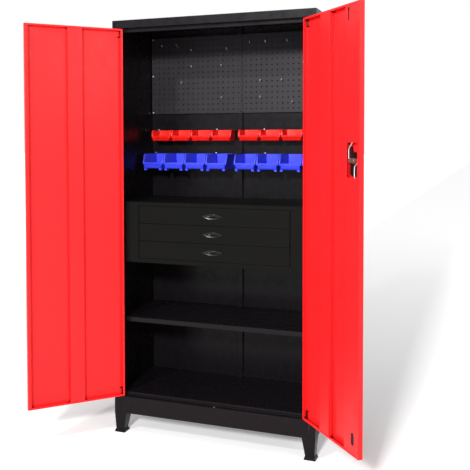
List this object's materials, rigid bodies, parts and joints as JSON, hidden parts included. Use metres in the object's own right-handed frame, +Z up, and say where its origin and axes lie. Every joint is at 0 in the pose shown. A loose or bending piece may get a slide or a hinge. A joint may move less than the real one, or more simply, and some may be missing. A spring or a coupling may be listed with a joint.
{
  "type": "tool cabinet",
  "caption": "Tall two-door sheet-steel tool cabinet on legs, with rod lock, pegboards, hanging bins, a drawer chest and a shelf.",
  "frame": {"origin": "on the floor at the middle of the four floor bolts", "axes": "+Z up, -Y out of the front through the doors, +X to the right of a person facing the front"},
  "size_m": [1.3881, 0.7186, 1.8],
  "materials": {
    "carcass_black": "satin powder coat",
    "pegboard_grey": "matt powder coat",
    "door_red": "satin powder coat",
    "red_plastic": "moulded, soft gloss",
    "blue_plastic": "moulded, soft gloss",
    "zinc_steel": "bright zinc plate",
    "bright_chrome": "polished",
    "black_plastic": "fine grain"
  },
  "bodies": {
    "cabinet": {"side_panel_left": "carcass_black", "side_panel_right": "carcass_black", "back_panel_left": "carcass_black", "back_panel_right": "carcass_black", "top_panel": "carcass_black", "floor_panel": "carcass_black", "aprons": "carcass_black", "legs": "carcass_black", "foot_caps": "black_plastic", "pegboard_left": "pegboard_grey", "pegboard_right": "pegboard_grey", "pegboard_hooks": "zinc_steel", "bin_rails": "carcass_black", "shelf": "carcass_black", "shelf_clips": "zinc_steel", "chest_shell": "carcass_black", "chest_face_frame": "carcass_black", "chest_runners": "zinc_steel", "panel_screws": "zinc_steel"},
    "left_door": {"left_door_skin": "door_red", "left_door_stiffener": "door_red", "left_door_pins": "zinc_steel"},
    "right_door": {"right_door_skin": "door_red", "right_door_stiffener": "door_red", "right_door_lock_stile": "door_red", "right_door_pins": "zinc_steel", "lock_body": "black_plastic", "rod_guides": "black_plastic"},
    "lock_handle": {"lock_handle": "black_plastic", "lock_cam": "bright_chrome"},
    "lock_rod_upper": {"lock_rod_upper": "zinc_steel"},
    "lock_rod_lower": {"lock_rod_lower": "zinc_steel"},
    "drawer_bottom": {"drawer_bottom_front": "carcass_black", "drawer_bottom_tray": "carcass_black", "drawer_bottom_pull": "black_plastic", "drawer_bottom_runners": "zinc_steel"},
    "drawer_middle": {"drawer_middle_front": "carcass_black", "drawer_middle_tray": "carcass_black", "drawer_middle_pull": "black_plastic", "drawer_middle_runners": "zinc_steel"},
    "drawer_top": {"drawer_top_front": "carcass_black", "drawer_top_tray": "carcass_black", "drawer_top_pull": "black_plastic", "drawer_top_runners": "zinc_steel"},
    "red_bin_1": {"red_bin_1": "red_plastic"},
    "red_bin_2": {"red_bin_2": "red_plastic"},
    "red_bin_3": {"red_bin_3": "red_plastic"},
    "red_bin_4": {"red_bin_4": "red_plastic"},
    "red_bin_5": {"red_bin_5": "red_plastic"},
    "red_bin_6": {"red_bin_6": "red_plastic"},
    "red_bin_7": {"red_bin_7": "red_plastic"},
    "red_bin_8": {"red_bin_8": "red_plastic"},
    "blue_bin_1": {"blue_bin_1": "blue_plastic"},
    "blue_bin_2": {"blue_bin_2": "blue_plastic"},
    "blue_bin_3": {"blue_bin_3": "blue_plastic"},
    "blue_bin_4": {"blue_bin_4": "blue_plastic"},
    "blue_bin_5": {"blue_bin_5": "blue_plastic"},
    "blue_bin_6": {"blue_bin_6": "blue_plastic"},
    "blue_bin_7": {"blue_bin_7": "blue_plastic"},
    "blue_bin_8": {"blue_bin_8": "blue_plastic"}
  },
  "joints": [
    {"name": "left_door_hinge", "type": "hinge", "parent": "cabinet", "child": "left_door", "pos_m": [-0.415, -0.1968, 0.9], "axis": [0, 0, -1], "range_deg": [-133, 5.5]},
    {"name": "right_door_hinge", "type": "hinge", "parent": "cabinet", "child": "right_door", "pos_m": [0.415, -0.1968, 0.9], "axis": [0, 0, 1], "range_deg": [-131.5, 7]},
    {"name": "handle_turn", "type": "hinge", "parent": "right_door", "child": "lock_handle", "pos_m": [0.65992, -0.4688, 1.21], "axis": [0.749, 0.6626, 0], "range_deg": [0, 45]},
    {"name": "lock_rod_upper_slide", "type": "slide", "parent": "right_door", "child": "lock_rod_upper", "axis": [0, 0, 1], "range_m": [0, 0.0192]},
    {"name": "lock_rod_lower_slide", "type": "slide", "parent": "right_door", "child": "lock_rod_lower", "axis": [0, 0, -1], "range_m": [0, 0.0192]},
    {"name": "drawer_bottom_slide", "type": "slide", "parent": "cabinet", "child": "drawer_bottom", "axis": [0, -1, 0], "range_m": [0, 0.26]},
    {"name": "drawer_middle_slide", "type": "slide", "parent": "cabinet", "child": "drawer_middle", "axis": [0, -1, 0], "range_m": [0, 0.26]},
    {"name": "drawer_top_slide", "type": "slide", "parent": "cabinet", "child": "drawer_top", "axis": [0, -1, 0], "range_m": [0, 0.26]},
    {"name": "red_bin_1_lift", "type": "slide", "parent": "cabinet", "child": "red_bin_1", "axis": [0, 0, 1], "range_m": [0, 0.012]},
    {"name": "red_bin_2_lift", "type": "slide", "parent": "cabinet", "child": "red_bin_2", "axis": [0, 0, 1], "range_m": [0, 0.012]},
    {"name": "red_bin_3_lift", "type": "slide", "parent": "cabinet", "child": "red_bin_3", "axis": [0, 0, 1], "range_m": [0, 0.012]},
    {"name": "red_bin_4_lift", "type": "slide", "parent": "cabinet", "child": "red_bin_4", "axis": [0, 0, 1], "range_m": [0, 0.012]},
    {"name": "red_bin_5_lift", "type": "slide", "parent": "cabinet", "child": "red_bin_5", "axis": [0, 0, 1], "range_m": [0, 0.012]},
    {"name": "red_bin_6_lift", "type": "slide", "parent": "cabinet", "child": "red_bin_6", "axis": [0, 0, 1], "range_m": [0, 0.012]},
    {"name": "red_bin_7_lift", "type": "slide", "parent": "cabinet", "child": "red_bin_7", "axis": [0, 0, 1], "range_m": [0, 0.012]},
    {"name": "red_bin_8_lift", "type": "slide", "parent": "cabinet", "child": "red_bin_8", "axis": [0, 0, 1], "range_m": [0, 0.012]},
    {"name": "blue_bin_1_lift", "type": "slide", "parent": "cabinet", "child": "blue_bin_1", "axis": [0, 0, 1], "range_m": [0, 0.012]},
    {"name": "blue_bin_2_lift", "type": "slide", "parent": "cabinet", "child": "blue_bin_2", "axis": [0, 0, 1], "range_m": [0, 0.012]},
    {"name": "blue_bin_3_lift", "type": "slide", "parent": "cabinet", "child": "blue_bin_3", "axis": [0, 0, 1], "range_m": [0, 0.012]},
    {"name": "blue_bin_4_lift", "type": "slide", "parent": "cabinet", "child": "blue_bin_4", "axis": [0, 0, 1], "range_m": [0, 0.012]},
    {"name": "blue_bin_5_lift", "type": "slide", "parent": "cabinet", "child": "blue_bin_5", "axis": [0, 0, 1], "range_m": [0, 0.012]},
    {"name": "blue_bin_6_lift", "type": "slide", "parent": "cabinet", "child": "blue_bin_6", "axis": [0, 0, 1], "range_m": [0, 0.012]},
    {"name": "blue_bin_7_lift", "type": "slide", "parent": "cabinet", "child": "blue_bin_7", "axis": [0, 0, 1], "range_m": [0, 0.012]},
    {"name": "blue_bin_8_lift", "type": "slide", "parent": "cabinet", "child": "blue_bin_8", "axis": [0, 0, 1], "range_m": [0, 0.012]}
  ],
  "couplings": [
    {"joint": "lock_rod_upper_slide", "follows": "handle_turn", "m_per_rad": 0.0243},
    {"joint": "lock_rod_lower_slide", "follows": "handle_turn", "m_per_rad": 0.0243}
  ]
}
